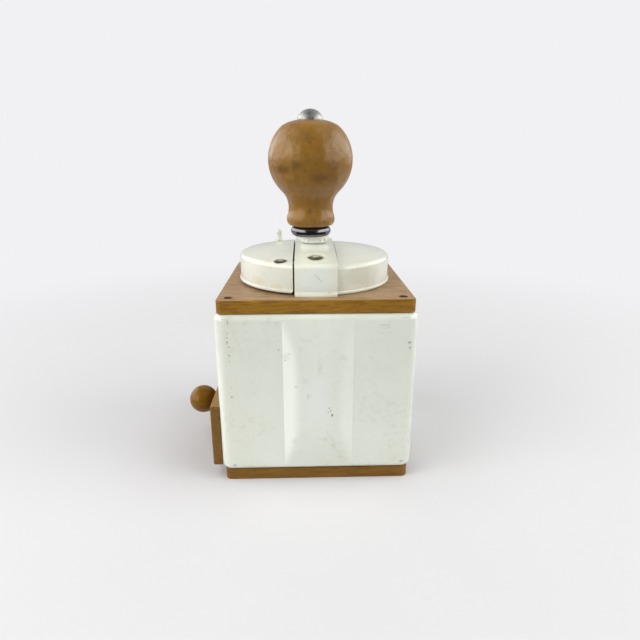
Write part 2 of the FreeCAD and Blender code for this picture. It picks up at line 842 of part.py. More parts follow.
def groove_end(body, height, foot, crest, half_width, turn):
    """A triangle across the burr's wall, turned about the axis: one end of a tooth groove."""

    def spun(radius, side):
        across = f"({radius}) * cos({turn}) - ({side}) * sin({turn})"
        along = f"({radius}) * sin({turn}) + ({side}) * cos({turn})"
        return across, along

    loop = [spun(foot, f"-({half_width})"), spun(crest, "0"), spun(foot, half_width)]
    if value(crest) < value(foot):
        loop.reverse()
    return sketch_on(body, "XY_Plane", loop, height=height)


def inner_burr():
    """The turning burr: a toothed cone under three twisted vanes that draw the beans in."""
    neck = "cone_bottom + 16"
    vane_top = f"{neck} + 10"
    profile = [
        ("spindle_radius + running", "cone_bottom"),
        ("cone_radius - 0.4", "cone_bottom"),
        ("cone_radius", "cone_bottom + 1"),
        ("cone_neck", neck),
        ("8.4", f"{neck} + 2"),
        ("8.4", vane_top),
        ("spindle_radius + running", vane_top),
    ]
    body = turned("inner_burr", profile)
    vane = []
    for height, reach, turn in ((f"{neck} - 3", "11.2", 0), (vane_top, "15.2", 38)):
        corners = []
        for radius, side in (("7", "-1.4"), (reach, "-0.9"), (reach, "0.9"), ("7", "1.4")):
            across = f"{radius} * cos({turn}) - {side} * sin({turn})"
            along = f"{radius} * sin({turn}) + {side} * cos({turn})"
            corners.append((across, along))
        vane.append(sketch_on(body, "XY_Plane", corners, height=height))
    around(body, loft(body, vane), "3")
    tooth = [
        groove_end(body, "cone_bottom - 0.1", "cone_radius + 1", "cone_radius - 1.3", "1.9", "0"),
        groove_end(body, f"{neck} - 0.4", "cone_neck + 1", "cone_neck - 0.9", "1.3", "-burr_slant"),
    ]
    around(body, loft(body, tooth, cut=True), "cone_teeth")
    return node(body)


def lower_bridge():
    """The flat yoke under the mill, its bush and its two screws."""
    top = "housing_bottom - seat"
    body = new_body("lower_bridge")
    half = "yoke_width / 2"
    ends = "yoke_spot + 3"
    loop = [
        (f"-({ends})", f"-({half})"),
        (ends, f"-({half})", "yoke_end"),
        (ends, half),
        (f"-({ends})", half, "yoke_end"),
    ]
    pad(body, sketch_on(body, "XY_Plane", loop, height=top), "yoke_thick", back=True)
    boss = ("0", "0", "9")
    pad(body, sketch_on(body, "XY_Plane", boss, height=top), "11", back=True)
    pocket(body, sketch_on(body, "XY_Plane", ("0", "0", "bush_radius + running"), height=top))
    holes = [(f"{sign} * yoke_spot", "0", "yoke_screw + seat") for sign in (-1, 1)]
    pocket(body, sketch_on(body, "XY_Plane", *holes, height=top))
    node(body)
    sleeve = "spindle_radius + running"
    profile = [
        (sleeve, "housing_bottom - 11"),
        ("bush_radius", "housing_bottom - 11"),
        ("bush_radius", "housing_bottom"),
        ("bush_radius + 1.5", "housing_bottom"),
        ("bush_radius + 1.5", "housing_bottom + 1"),
        (sleeve, "housing_bottom + 1"),
    ]
    node(turned("lower_bearing", profile))
    bolt = screw("yoke_screw", "yoke_screw", "2.8", "1.8", "yoke_thick + 4")
    flipped = doc.addObject("Part::Mirroring", "yoke_screw_up")
    flipped.Source = bolt
    flipped.Normal = Vector(0, 0, 1)
    level = "housing_bottom - yoke_thick - 2 * seat"
    node(group("lower_bridge_screws", flipped, [(f"{sign} * yoke_spot", "0", level) for sign in (-1, 1)]))


# The spindle, its upper bearing, the grind adjuster and the crank


def top_bearing():
    """The flanged bush that hangs in the middle of the strap and guides the spindle."""
    bore = "spindle_radius + running"
    under = "strap_top - strap_sheet - 0.2"
    profile = [
        (bore, f"{under} - 4.2"),
        ("bearing_neck - 0.2", f"{under} - 4.2"),
        ("bearing_neck - 0.2", f"{under} - 2.4"),
        ("collar_radius", f"{under} - 2.4"),
        ("collar_radius", under),
        ("bearing_neck", under),
        ("bearing_neck", "strap_top + 0.3"),
        (bore, "strap_top + 0.3"),
    ]
    return node(turned("top_bearing", profile))


def spindle():
    """The turned spindle, with a square for the crank and shoulders for the burr and the spring."""
    profile = [
        ("0", "spindle_bottom"),
        ("spindle_radius - 0.8", "spindle_bottom"),
        ("spindle_radius", "spindle_bottom + 0.8"),
        ("spindle_radius", "shoulder"),
        ("6.6", "shoulder"),
        ("6.6", "shoulder + 3"),
        ("spindle_radius", "shoulder + 4"),
        ("spindle_radius", "spring_foot - 2"),
        ("spring_radius + spring_wire", "spring_foot - 2"),
        ("spring_radius + spring_wire", "spring_foot"),
        ("spindle_radius", "spring_foot"),
        ("spindle_radius", "arm_bottom + arm_sheet + seat"),
        ("2.75", "arm_bottom + arm_sheet + seat"),
        ("2.75", "spindle_top - 0.6"),
        ("2.2", "spindle_top"),
        ("0", "spindle_top"),
    ]
    body = turned("spindle", profile)
    flats = square("square_side / 2")
    ring = ("0", "0", "spindle_radius + 0.5")
    pocket(body, sketch_on(body, "XY_Plane", ring, flats, height="arm_bottom - 0.5"), "arm_sheet + 0.8", back=True)
    return node(place(body, turn=((0, 0, 1), value("crank_angle"))))


def burr_nut():
    """The nut that holds the cone on the spindle from below."""
    body = new_body("burr_nut")
    loops = [hexagon("12"), ("0", "0", "spindle_radius + running")]
    pad(body, sketch_on(body, "XY_Plane", *loops, height="cone_bottom - seat"), "4.6", back=True)
    return node(body)


def spindle_spring():
    """The coil that presses the spindle down: one six-sided wire of quarter turns along a helix."""
    radius, wire, turns = (value(f"spring_{word}") for word in ("radius", "wire", "turns"))
    low = value("spring_foot + seat + spring_wire")
    high = value("strap_top - strap_sheet - 2.6 - 2 * seat - spring_wire")
    steps = int(turns) * 4
    climb = (high - low) / steps

    def spot(step):
        angle = math.pi / 2 * step
        return Vector(radius * math.cos(angle), radius * math.sin(angle), low + climb * step)

    runs = [Part.Arc(spot(i), spot(i + 0.5), spot(i + 1)).toShape() for i in range(steps)]
    path = Part.Wire(runs)
    along = runs[0].tangentAt(runs[0].FirstParameter)
    ring = Part.makePolygon(Part.Circle(spot(0), along, wire).discretize(7))
    print("spring: least gap between turns", round(climb * 4 - 2 * wire, 2), "mm")
    coil = doc.addObject("Part::Feature", "spindle_spring")
    coil.Label = "spindle_spring"
    coil.Shape = path.makePipeShell([ring], True, True)
    coil.Placement = Placement(Vector(0, 0, 0), Rotation())
    return node(coil)


def thrust_washer():
    return node(tube("thrust_washer", "spindle_radius + 0.1", "8.5", "nut_bottom - 1", "nut_bottom - 0.1"))


def adjusting_nut():
    """The knurled nut that sets how far the burrs stand apart."""
    body = tube("adjusting_nut", "spindle_radius + 0.06", "nut_radius", "nut_bottom", "nut_bottom + nut_height")
    notch = [("nut_radius - 0.7", "0"), ("nut_radius + 0.5", "-1.1"), ("nut_radius + 0.5", "1.1")]
    flute = sketch_on(body, "XY_Plane", notch, height="nut_bottom")
    around(body, pocket(body, flute, back=True), "nut_flutes")
    return node(body)


def crank_arm():
    """The pressed crank arm: a hub with a square hole, a slope and a level end for the knob."""
    body = new_body("crank_arm")
    hub_end, slope_end = "arm_hub + 4", "crank_length - 16"
    tip = "crank_length + arm_tip + 2"
    back = "arm_hub + 2"
    high = "arm_bottom + arm_rise"
    side = [
        (f"-({tip})", high),
        (f"-({slope_end})", high),
        (f"-({hub_end})", "arm_bottom"),
        (back, "arm_bottom"),
        (back, "arm_bottom + arm_sheet"),
        (f"-({hub_end})", "arm_bottom + arm_sheet"),
        (f"-({slope_end})", f"{high} + arm_sheet"),
        (f"-({tip})", f"{high} + arm_sheet"),
    ]
    strip = pad(body, sketch_on(body, "YZ_Plane", side), "2 * arm_hub + 4", both=True)
    bends = round_off(
        body, strip, lambda edge: edge.BoundBox.XLength > 10 and -85 < edge.BoundBox.YMin < -5, "4"
    )
    lean = "asin((arm_hub - arm_tip) / crank_length)"
    hub_across, hub_along = f"arm_hub * cos({lean})", f"-arm_hub * sin({lean})"
    tip_across, tip_along = f"arm_tip * cos({lean})", f"-crank_length - arm_tip * sin({lean})"
    outline = [
        (f"-({hub_across})", hub_along),
        (f"-({tip_across})", tip_along, "arm_tip"),
        ("0", "-crank_length - arm_tip", "arm_tip"),
        (tip_across, tip_along),
        (hub_across, hub_along, "arm_hub"),
        ("0", "arm_hub", "arm_hub"),
    ]
    frame = box_loop("-2 * arm_hub", f"-({tip}) - 2", "2 * arm_hub", f"{back} + 2")
    doc.recompute()
    if "Invalid" in bends.State:
        raise RuntimeError("the arm's bends failed")
    pocket(body, sketch_on(body, "XY_Plane", frame, outline), back=True)
    holes = [square("square_side / 2 + running"), ("0", "-crank_length", "bolt_radius + running")]
    pocket(body, sketch_on(body, "XY_Plane", *holes), back=True)
    return node(place(body, turn=((0, 0, 1), value("crank_angle"))))


def crank_nut():
    """The domed nut on top of the spindle."""
    body = new_body("crank_nut")
    low = "arm_bottom + arm_sheet + seat"
    pad(body, sketch_on(body, "XY_Plane", hexagon("10"), height=low), "5")
    cap = [("0", f"{low} + 5"), ("4.7", f"{low} + 5", "(4.7 ^ 2 + 2.6 ^ 2) / (2 * 2.6)"), ("0", f"{low} + 7.6")]
    revolve(body, sketch_on(body, "XZ_Plane", cap))
    bore = sketch_on(body, "XY_Plane", ("0", "0", "2.8"), height=low)
    pocket(body, bore, f"spindle_top + 0.1 - ({low})", back=True)
    return node(place(body, turn=((0, 0, 1), value("crank_angle"))))


# The knob

KNOB_ACROSS = "crank_length * sin(crank_angle)"
KNOB_ALONG = "-crank_length * cos(crank_angle)"


def knob_bolt():
    """The bolt that the knob turns on: riveted under the arm, with a domed steel cap on top."""
    arm_low = "arm_bottom + arm_rise"
    dome = "(cap_rise - cap_edge)"
    profile = [
        ("0", f"{arm_low} - seat - rivet_height"),
        ("rivet_radius", f"{arm_low} - seat - rivet_height"),
        ("rivet_radius", f"{arm_low} - seat"),
        ("bolt_radius", f"{arm_low} - seat"),
        ("bolt_radius", "knob_top"),
        ("cap_radius", "knob_top"),
        ("cap_radius", "knob_top + cap_edge", f"(cap_radius ^ 2 + {dome} ^ 2) / (2 * {dome})"),
        ("0", "knob_top + cap_rise"),
    ]
    body = turned("knob_bolt", profile)
    return node(place(body, KNOB_ACROSS, KNOB_ALONG))


def knob_wood():
    """The turned knob: a ball with a flatter crown on a waist on a bead, drawn in arcs."""
    hollow = (
        "((waist_radius ^ 2 + (ball_height - waist_height) ^ 2 - ball_radius ^ 2)"
        " / (2 * (ball_radius - waist_radius)))"
    )
    axis_across = f"(waist_radius + {hollow})"
    share = f"(ball_radius / (ball_radius + {hollow}))"
    joint_across = f"{axis_across} * {share}"
    joint_up = f"ball_height - (ball_height - waist_height) * {share}"
    bead = "((({0} - bead_radius) ^ 2 + (waist_height - bead_height) ^ 2 - {1} ^ 2) / (2 * ({1} - {0} + bead_radius)))"
    bead = bead.format(axis_across, hollow)
    bead_axis = f"(bead_radius - {bead})"
    part_way = f"({bead} / ({bead} + {hollow}))"
    seam_across = f"{bead_axis} + ({axis_across} - {bead_axis}) * {part_way}"
    seam_up = f"bead_height + (waist_height - bead_height) * {part_way}"
    top = "knob_top - seat"
    crown_up = "ball_height + sqrt(ball_radius ^ 2 - crown_across ^ 2)"
    low_across = "bead_radius - bead_fall + sqrt(bead_fall ^ 2 - (bead_height - knob_foot) ^ 2)"
    profile = [
        ("bolt_radius + running", "ferrule_bottom"),
        ("ferrule_radius - 2", "ferrule_bottom"),
        ("ferrule_radius - 2", "knob_foot"),
        (low_across, "knob_foot", "bead_fall"),
        ("bead_radius", "bead_height", bead),
        (seam_across, seam_up, f"-{hollow}"),
        (joint_across, joint_up, "ball_radius"),
        ("ball_radius", "ball_height", "ball_radius"),
        ("crown_across", crown_up, "crown_arc"),
        ("crown_flat", top),
        ("bolt_radius + running", top),
    ]
    body = turned("knob_wood", profile)
    return node(place(body, KNOB_ACROSS, KNOB_ALONG))


def knob_ferrule():
    """The bright swelled ring round the knob's spigot."""
    low, high = "ferrule_bottom - seat", "knob_foot - ferrule_gap"
    half = f"(({high} - ({low})) / 2)"
    profile = [
        ("ferrule_radius - 1.95", low),
        ("ferrule_radius - ferrule_swell", low, f"({half} ^ 2 + ferrule_swell ^ 2) / (2 * ferrule_swell)"),
        ("ferrule_radius - ferrule_swell", high),
        ("ferrule_radius - 1.95", high),
    ]
    body = turned("knob_ferrule", profile)
    return node(place(body, KNOB_ACROSS, KNOB_ALONG))


# The drawer

TRAY_FACE = "-(shell_side / 2 + front_gap)"


def drawer():
    """The drawer: a beech front on a plain tray, with a turned pull and its screw."""
    front = new_body("drawer_front")
    loop = box_loop("-front_width / 2", "0", "front_width / 2", "front_height")
    board = pad(front, sketch_on(front, "YZ_Plane", loop), "front_thick", back=True)
    round_off(front, board, lambda edge: edge.BoundBox.XMax < -value("front_thick") + 0.01, "1.2")
    hole = ("0", "front_height / 2", "pull_screw + seat")
    pocket(front, sketch_on(front, "YZ_Plane", hole))
    node(place(front, TRAY_FACE, "0", "front_bottom"))

    length = f"tray_back - {TRAY_FACE} - seat"
    for sign, side in ((-1, "front"), (1, "back")):
        wall = new_body(f"drawer_side_{side}")
        loop = box_loop("-tray_wall / 2", "0", "tray_wall / 2", "tray_height")
        board = pad(wall, sketch_on(wall, "YZ_Plane", loop), length)
        round_off(wall, board, level_at("tray_height"), "1")
        node(place(wall, f"{TRAY_FACE} + seat", f"{sign} * (tray_width - tray_wall) / 2", "tray_bottom"))

    inner = "(tray_width - 2 * tray_wall - 2 * seat)"
    back = new_body("drawer_back")
    loop = box_loop(f"-{inner} / 2", "0", f"{inner} / 2", "tray_height - 2")
    pad(back, sketch_on(back, "YZ_Plane", loop), "tray_wall", back=True)
    node(place(back, "tray_back", "0", "tray_bottom"))

    floor = new_body("drawer_bottom")
    loop = box_loop("0", f"-{inner} / 2", f"{length} - tray_wall - seat", f"{inner} / 2")
    pad(floor, sketch_on(floor, "XY_Plane", loop), "tray_floor")
    node(place(floor, f"{TRAY_FACE} + seat", "0", "tray_bottom"))

    profile = [
        ("pull_screw + running", "0"),
        ("6.4", "0"),
        ("6.4", "0.8", "-3.2"),
        ("pull_neck", "pull_reach - sqrt(pull_radius ^ 2 - pull_neck ^ 2)", "pull_radius"),
        ("pull_radius", "pull_reach", "pull_radius"),
        ("0", "pull_reach + pull_radius"),
        ("0", "10"),
        ("pull_screw + running", "10"),
    ]
    pull = turned("drawer_knob", profile)
    level = "front_bottom + front_height / 2"
    pull.Placement = Placement(Vector(0, 0, 0), Rotation(Vector(0, 1, 0), -90))
    node(place_turned(pull, f"{TRAY_FACE} - front_thick - seat", "0", level))

    bolt = screw("drawer_knob_screw", "pull_screw", "3.6", "1.6", "front_thick + 8")
    bolt.Placement = Placement(Vector(0, 0, 0), Rotation(Vector(0, 1, 0), 90))
    node(place_turned(bolt, f"{TRAY_FACE} + seat", "0", level))


def place_turned(thing, across, along, up):
    """Moves a sub-part that is already turned."""
    bind(thing, "Placement.Base.x", across)
    bind(thing, "Placement.Base.y", along)
    bind(thing, "Placement.Base.z", up)
    return thing


def build():
    for make in (
        base_plate,
        body_shell,
        top_plate,
        corner_posts,
        plate_screws,
        drawer_guides,
        fixed_cover,
        swing_lid,
        lid_pin,
        lid_pivot,
        bridge_strap,
        bridge_fixings,
        hopper_funnel,
        burr_housing,
        outer_burr,
        inner_burr,
        lower_bridge,
        top_bearing,
        spindle,
        burr_nut,
        spindle_spring,
        thrust_washer,
        adjusting_nut,
        crank_arm,
        crank_nut,
        knob_bolt,
        knob_wood,
        knob_ferrule,
        drawer,
    ):
        make()
    doc.recompute()
    for thing in doc.Objects:
        if "Invalid" in thing.State or "Error" in thing.State:
            raise RuntimeError(f"{thing.Name} is {thing.State}")
    for thing in NODES:
        if thing.Shape.isNull() or not thing.Shape.isValid():
            raise RuntimeError(thing.Label + " has no valid shape")
    os.makedirs("parts", exist_ok=True)
    for thing in NODES:
        thing.Shape.exportStep(f"parts/{thing.Label}.step")
        print(f"{thing.Label}: {len(thing.Shape.Solids)} solid, {thing.Shape.Volume / 1000:.2f} ml")


build()
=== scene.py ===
import json
import math

import bmesh
import bpy
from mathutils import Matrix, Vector


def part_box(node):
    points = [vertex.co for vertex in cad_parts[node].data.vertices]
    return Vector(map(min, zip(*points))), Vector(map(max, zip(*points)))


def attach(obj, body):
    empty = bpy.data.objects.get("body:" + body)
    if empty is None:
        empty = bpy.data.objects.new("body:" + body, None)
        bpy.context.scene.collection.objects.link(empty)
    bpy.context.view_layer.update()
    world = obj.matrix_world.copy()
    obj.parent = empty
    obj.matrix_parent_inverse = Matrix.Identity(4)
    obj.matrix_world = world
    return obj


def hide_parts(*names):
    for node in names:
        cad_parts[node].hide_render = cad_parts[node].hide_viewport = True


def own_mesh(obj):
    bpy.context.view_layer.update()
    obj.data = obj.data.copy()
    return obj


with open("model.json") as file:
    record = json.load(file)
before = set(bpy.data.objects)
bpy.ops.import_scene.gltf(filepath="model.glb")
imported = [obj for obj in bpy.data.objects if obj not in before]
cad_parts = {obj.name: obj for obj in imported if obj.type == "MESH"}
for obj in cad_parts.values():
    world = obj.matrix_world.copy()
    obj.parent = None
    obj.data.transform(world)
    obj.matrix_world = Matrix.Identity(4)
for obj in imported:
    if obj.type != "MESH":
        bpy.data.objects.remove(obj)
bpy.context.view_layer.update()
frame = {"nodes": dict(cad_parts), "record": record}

MM = 0.001


# Camera: the photograph's own view, solved from the outlines of the case and its plates.

CAMERA_PLACE = Vector((-6.7, -341.7, 199.5)) * MM
CAMERA_PITCH = math.radians(17.853)
CAMERA_YAW = math.radians(-1.773)
CAMERA_NEAR = 0.01
FOCAL_PIXELS = 504.74
PHOTO_WIDTH = 640
SENSOR = 36.0


def make_camera():
    """The camera of the photograph."""
    data = bpy.data.cameras.new("photo_camera")
    data.sensor_width = SENSOR
    data.lens = FOCAL_PIXELS / PHOTO_WIDTH * SENSOR
    data.clip_start = CAMERA_NEAR
    camera = bpy.data.objects.new("photo_camera", data)
    camera.location = CAMERA_PLACE
    camera.rotation_euler = (math.pi / 2 - CAMERA_PITCH, 0, CAMERA_YAW)
    bpy.context.scene.collection.objects.link(camera)
    bpy.context.scene.camera = camera


# Colours are written as screen values from 0 to 255 and turned into linear light.


def linear(red, green, blue):
    """A screen colour as opaque linear light."""

    def one(channel):
        level = channel / 255
        return level / 12.92 if level <= 0.04045 else ((level + 0.055) / 1.055) ** 2.4

    return (one(red), one(green), one(blue), 1.0)


def scaled(color, factor):
    """A colour made brighter or darker."""
    return tuple(factor * level for level in color[:3]) + (1.0,)


class Tree:
    """The shader nodes of a material or of the world."""

    def __init__(self, tree):
        self.tree = tree

    def node(self, kind, **settings):
        made = self.tree.nodes.new(kind)
        for name, setting in settings.items():
            setattr(made, name, setting)
        return made

    def feed(self, socket, source):
        """Links a node's output into a socket, or sets a plain value there."""
        if isinstance(source, bpy.types.NodeSocket):
            self.tree.links.new(source, socket)
        else:
            socket.default_value = source

    def math(self, operation, first, *rest):
        """Runs an operation over two or more sources in turn, or over one alone."""
        for source in rest or (0.0,):
            made = self.node("ShaderNodeMath", operation=operation)
            self.feed(made.inputs[0], first)
            self.feed(made.inputs[1], source)
            first = made.outputs[0]
        return first

    def fade(self, source, low, high, first=0.0, last=1.0):
        """Runs from the first value at the low end of the source to the last at its high end."""
        ranged = self.node("ShaderNodeMapRange", interpolation_type="SMOOTHSTEP")
        self.feed(ranged.inputs["Value"], source)
        for name, number in (("From Min", low), ("From Max", high), ("To Min", first), ("To Max", last)):
            ranged.inputs[name].default_value = number
        return ranged.outputs["Result"]

    def split(self, source):
        """The X, Y and Z parts of a place or a direction."""
        made = self.node("ShaderNodeSeparateXYZ")
        self.feed(made.inputs[0], source)
        return made.outputs

    def glow(self, kind, color, strength=1.0):
        """Light of a colour, from the kind of node that is named."""
        made = self.node(kind)
        self.feed(made.inputs["Color"], color)
        self.feed(made.inputs["Strength"], strength)
        return made.outputs[0]

    def blend(self, share, first, second):
        """Mixes two shaders. The share is the second one's."""
        made = self.node("ShaderNodeMixShader")
        for socket, source in zip(made.inputs, (share, first, second)):
            self.feed(socket, source)
        return made.outputs["Shader"]


class Paint(Tree):
    """A procedural material. Its textures run in the object's own coordinates, in metres."""

    def __init__(self, name, color, roughness, sockets=()):
        self.material = bpy.data.materials.new(name)
        self.material.use_nodes = True
        super().__init__(self.material.node_tree)
        self.shader = self.tree.nodes["Principled BSDF"]
        self.shader.inputs["Base Color"].default_value = color
        self.shader.inputs["Roughness"].default_value = roughness
        for socket, number in dict(sockets).items():
            self.shader.inputs[socket].default_value = number
        self.place = self.node("ShaderNodeTexCoord").outputs["Object"]
        self.normal = self.node("ShaderNodeNewGeometry").outputs["Normal"]

    def noise(self, size, detail=4.0, stretch=(1, 1, 1), distortion=0.0, roughness=0.5):
        """Noise whose blobs are about this many metres across before it is stretched."""
        mapping = self.node("ShaderNodeMapping")
        self.feed(mapping.inputs["Vector"], self.place)
        mapping.inputs["Scale"].default_value = stretch
        texture = self.node("ShaderNodeTexNoise")
        self.feed(texture.inputs["Vector"], mapping.outputs["Vector"])
        texture.inputs["Scale"].default_value = 1 / size
        texture.inputs["Detail"].default_value = detail
        texture.inputs["Roughness"].default_value = roughness
        texture.inputs["Distortion"].default_value = distortion
        return texture.outputs["Fac"]

    def patches(self, size, low, high, strength=1.0, **kind):
        """Noise that shows where it is above the low value, and at full strength above the high one."""
        return self.fade(self.noise(size, **kind), low, high, 0.0, strength)

    def line(self, source, slope, start):
        """The height of a straight line over a source."""
        made = self.node("ShaderNodeMath", operation="MULTIPLY_ADD")
        for socket, term in zip(made.inputs, (source, slope, start)):
            self.feed(socket, term)
        return made.outputs[0]

    def vector(self, operation, first, second=None):
        made = self.node("ShaderNodeVectorMath", operation=operation)
        self.feed(made.inputs[0], first)
        if second is not None:
            self.feed(made.inputs[1], second)
        return made.outputs["Value" if operation == "LENGTH" else "Vector"]

    def mix(self, factor, first, second, mode="MIX"):
        """Mixes two colours. The factor is the second one's share."""
        made = self.node("ShaderNodeMix", data_type="RGBA", blend_type=mode)
        self.feed(made.inputs["Factor"], factor)
        self.feed(made.inputs["A"], first)
        self.feed(made.inputs["B"], second)
        return made.outputs["Result"]

    def axis(self, name, source=None):
        return self.split(source or self.place)[name]

    def facing(self, name):
        """How squarely a surface faces along an axis, from 0 to 1."""
        return self.math("ABSOLUTE", self.axis(name, self.normal))

    def near(self, spot, reach, ragged=0.3, size=0.002, core=0.55):
        """A ragged blot: 1 in the core of an ellipsoid about the spot, 0 outside it. Its place and reach are
        in millimetres."""
        moved = self.vector("SUBTRACT", self.place, Vector(spot) * MM)
        length = self.vector("LENGTH", self.vector("DIVIDE", moved, Vector(reach) * MM))
        edge = self.line(self.noise(size, detail=3), 2 * ragged, 1 - ragged)
        return self.fade(self.math("DIVIDE", length, edge), core, 1.0, 1.0, 0.0)

    def stain(self, tint, spot, reach, color, strength=1.0, **shape):
        """Lays a ragged blot of a colour over a tint."""
        return self.mix(self.math("MULTIPLY", self.near(spot, reach, **shape), strength), tint, color)

    def tint(self):
        """What feeds the base colour so far."""
        return self.shader.inputs["Base Color"].links[0].from_socket

    def color(self, source):
        self.feed(self.shader.inputs["Base Color"], source)

    def roughness(self, source):
        self.feed(self.shader.inputs["Roughness"], source)

    def bump(self, height, distance, strength=1.0, normal=None):
        bump = self.node("ShaderNodeBump")
        bump.inputs["Strength"].default_value = strength
        bump.inputs["Distance"].default_value = distance
        self.feed(bump.inputs["Height"], height)
        if normal:
            self.feed(bump.inputs["Normal"], normal)
        self.feed(self.shader.inputs["Normal"], bump.outputs["Normal"])
        return bump.outputs["Normal"]


# Enamel

CREAM = linear(222, 227, 215)
CLOUD_CREAM = scaled(CREAM, 0.9)
DRUM_CREAM = linear(227, 228, 213)
COOL = linear(224, 231, 226)
CORNER_HIGHLIGHT = linear(239, 242, 238)
YELLOWED = linear(226, 219, 188)
BLUSH = linear(222, 208, 176)
GRIME_AND_SHADE = linear(166, 162, 140)
STRAP_EDGE_SHADOW = linear(100, 97, 80)
PIN_GRIME = linear(178, 176, 160)
DIMPLE_DIRT_AND_SHADE = linear(52, 48, 38)
SMUDGE_AND_SHADE = linear(140, 138, 118)
SCRATCH = linear(120, 116, 100)
CHIP_AND_SHADE = linear(78, 74, 60)
RUST = linear(150, 104, 66)
STRAP_TOP_HIGHLIGHT = linear(250, 252, 249)
STRAP_COOL = linear(221, 231, 227)

# Heights, in metres, between which the case's cream turns into the drum's.
DRUM_STARTS = (0.117, 0.121)

# The plane of the case's front and how deep the blots on the sheet go, in millimetres.
FRONT = -62.5
BLOT_DEPTH = 6

# Painted highlight and cool places of the case, a painted highlight on its left front corner and a cooler
# cream on its middle: place, reach, colour, strength, raggedness and core.
CASE_WASHES = [
    # A painted highlight on the case's left front corner.
    ((-61, -61, 62), (5, 5, 64), CORNER_HIGHLIGHT, 0.6, 0.1, 0.5),
    ((1, FRONT, 62), (15, 8, 46), COOL, 0.6, 0.3, 0.1),
]
# Smudges, chips and painted shade on the case's front: where each is across and up, its reach across and up,
# and strength.
SMUDGES_AND_SHADE = [
    # Dirt and painted shade under the bead of the case's top edge, at its left corner.
    (-51.0, 110.2, 3.4, 1.3, 0.8),
    (-17.7, 86.4, 4.2, 4.2, 0.32),
    (-7.1, 71.3, 5.0, 3.0, 0.3),
    (-4.8, 61.2, 3.2, 3.4, 0.42),
    (2.0, 80.0, 3.0, 9.0, 0.25),
    (16.0, 84.5, 4.5, 8.0, 0.22),
    (10.2, 26.8, 2.4, 4.4, 0.5),
    (4.0, 31.5, 8.0, 2.4, 0.28),
    (-14.0, 30.0, 3.0, 3.0, 0.2),
    (41.0, 100.8, 7.0, 1.2, 0.3),
    (47.0, 24.0, 4.0, 9.0, 0.22),
    (-30.0, 96.0, 9.0, 4.0, 0.14),
    (-33.0, 40.0, 6.0, 12.0, 0.12),
]
CHIPS_AND_SHADE = [
    (-52.0, 107.9, 0.9, 1.8, 0.3),
    (-16.2, 88.4, 0.7, 0.6, 0.45),
    (-18.8, 84.2, 0.8, 0.6, 0.35),
    (-22.6, 90.5, 0.6, 0.9, 0.4),
    (-12.6, 67.5, 0.7, 1.0, 0.25),
    (7.6, 53.0, 0.5, 0.8, 0.6),
    (8.5, 51.4, 0.5, 0.6, 0.6),
    (7.0, 50.3, 0.5, 0.5, 0.5),
    (9.4, 48.2, 0.7, 1.3, 0.85),
    (55.7, 94.4, 1.7, 1.0, 0.5),
    (56.0, 91.0, 1.4, 0.8, 0.45),
    # Thin painted shade lines, with dirt, under the bead of the case's top edge at both corners.
    (-53.5, 109.6, 3.6, 0.35, 0.3),
    (52.8, 110.0, 4.2, 0.35, 0.28),
    (-52.4, 11.9, 1.5, 1.0, 0.4),
    (54.4, 12.9, 1.8, 1.0, 0.4),
]
# A worn oval: its middle across and up, and the half widths and heights of its outline, outer and inner.
OVAL_PLACE = (40.2, 104.6)
OVAL = [(4.5, 1.7), (3.7, 1.1)]
# Stretches of the case's upright edges with knocked enamel: middle across and up, reach across and up.
KNOCKED = [(-52.6, 92.0, 1.5, 16.0), (56.0, 90.0, 1.2, 6.0), (-52.0, 60.0, 0.9, 12.0)]
KNOCK_DEPTH = 7
# Heights, in metres, between which the flakes along the case's lower edge begin, from above and from below.
FLAKES_FROM_ABOVE = (0.0105, 0.0085)
FLAKES_FROM_BELOW = (0.004, 0.007)

# The embossed panel on the case's front, in millimetres: its folds across and up, how far its flanks and its
# ends slope inwards, and how high it stands.
PANEL_SIDES = (-20.5, 22.5)
PANEL_ENDS = (12.0, 108.2)
PANEL_FLANK = 8.5
PANEL_END = 21.0
PANEL_RISE = 2.8
# Where the case's front begins, in metres, and how the panel's outline sets in and its slopes run out,
# counted in slopes from a fold.
PANEL_FRONT = (-0.0600, -0.0606)
OUTLINE_SETS_IN = (0.0, 0.03)
FLANK_RUNS_OUT = (0.5, 1.5)
END_RUNS_OUT = (0.6, 1.4)
# Where the end's slope turns into the flank's: by how many slopes a point is further in from the end's fold
# than from the side's.
FLANK_TAKES_OVER = (-0.5, 0.5)
# How much brighter the flanks are painted, as a painted highlight of the light from the sides, how much of
# that the right one has, and where, in metres across, the one turns into the other.
FLANK_HIGHLIGHT_GAIN = 1.13
RIGHT_SHARE = 0.65
BETWEEN_FLANKS = (-0.005, 0.005)

# Wear, stains and painted shade on the drum and its strap: place, reach, colour and strength.
TOP_WEAR_AND_SHADE = [
    ((-36.2, -33.2, 142), (0.6, 0.6, 3), CHIP_AND_SHADE, 0.7),
    ((34.8, -31, 124.5), (2.6, 4, 1.5), RUST, 0.3),
    ((-31, -40, 139), (5, 5, 1.4), YELLOWED, 0.7),
    ((8, -51, 123), (1.6, 3, 0.7), GRIME_AND_SHADE, 0.5),
    # A painted shade line across the strap's top, behind the crank.
    ((0, -14, 145), (9, 0.9, 2), GRIME_AND_SHADE, 0.25),
    # A broad soft darkening of the fixed cover's front right.
    ((32, -40, 131), (22, 16, 9), GRIME_AND_SHADE, 0.25),
    # A painted shadow along the strap's right edge, on the fixed cover below it.
    ((13.2, 0, 144), (0.8, 54, 9), STRAP_EDGE_SHADOW, 0.85),
    ((-36, -34, 127), (6, 8, 3), BLUSH, 0.45),
    ((-24, -43, 125), (5, 8, 2), BLUSH, 0.4),
]
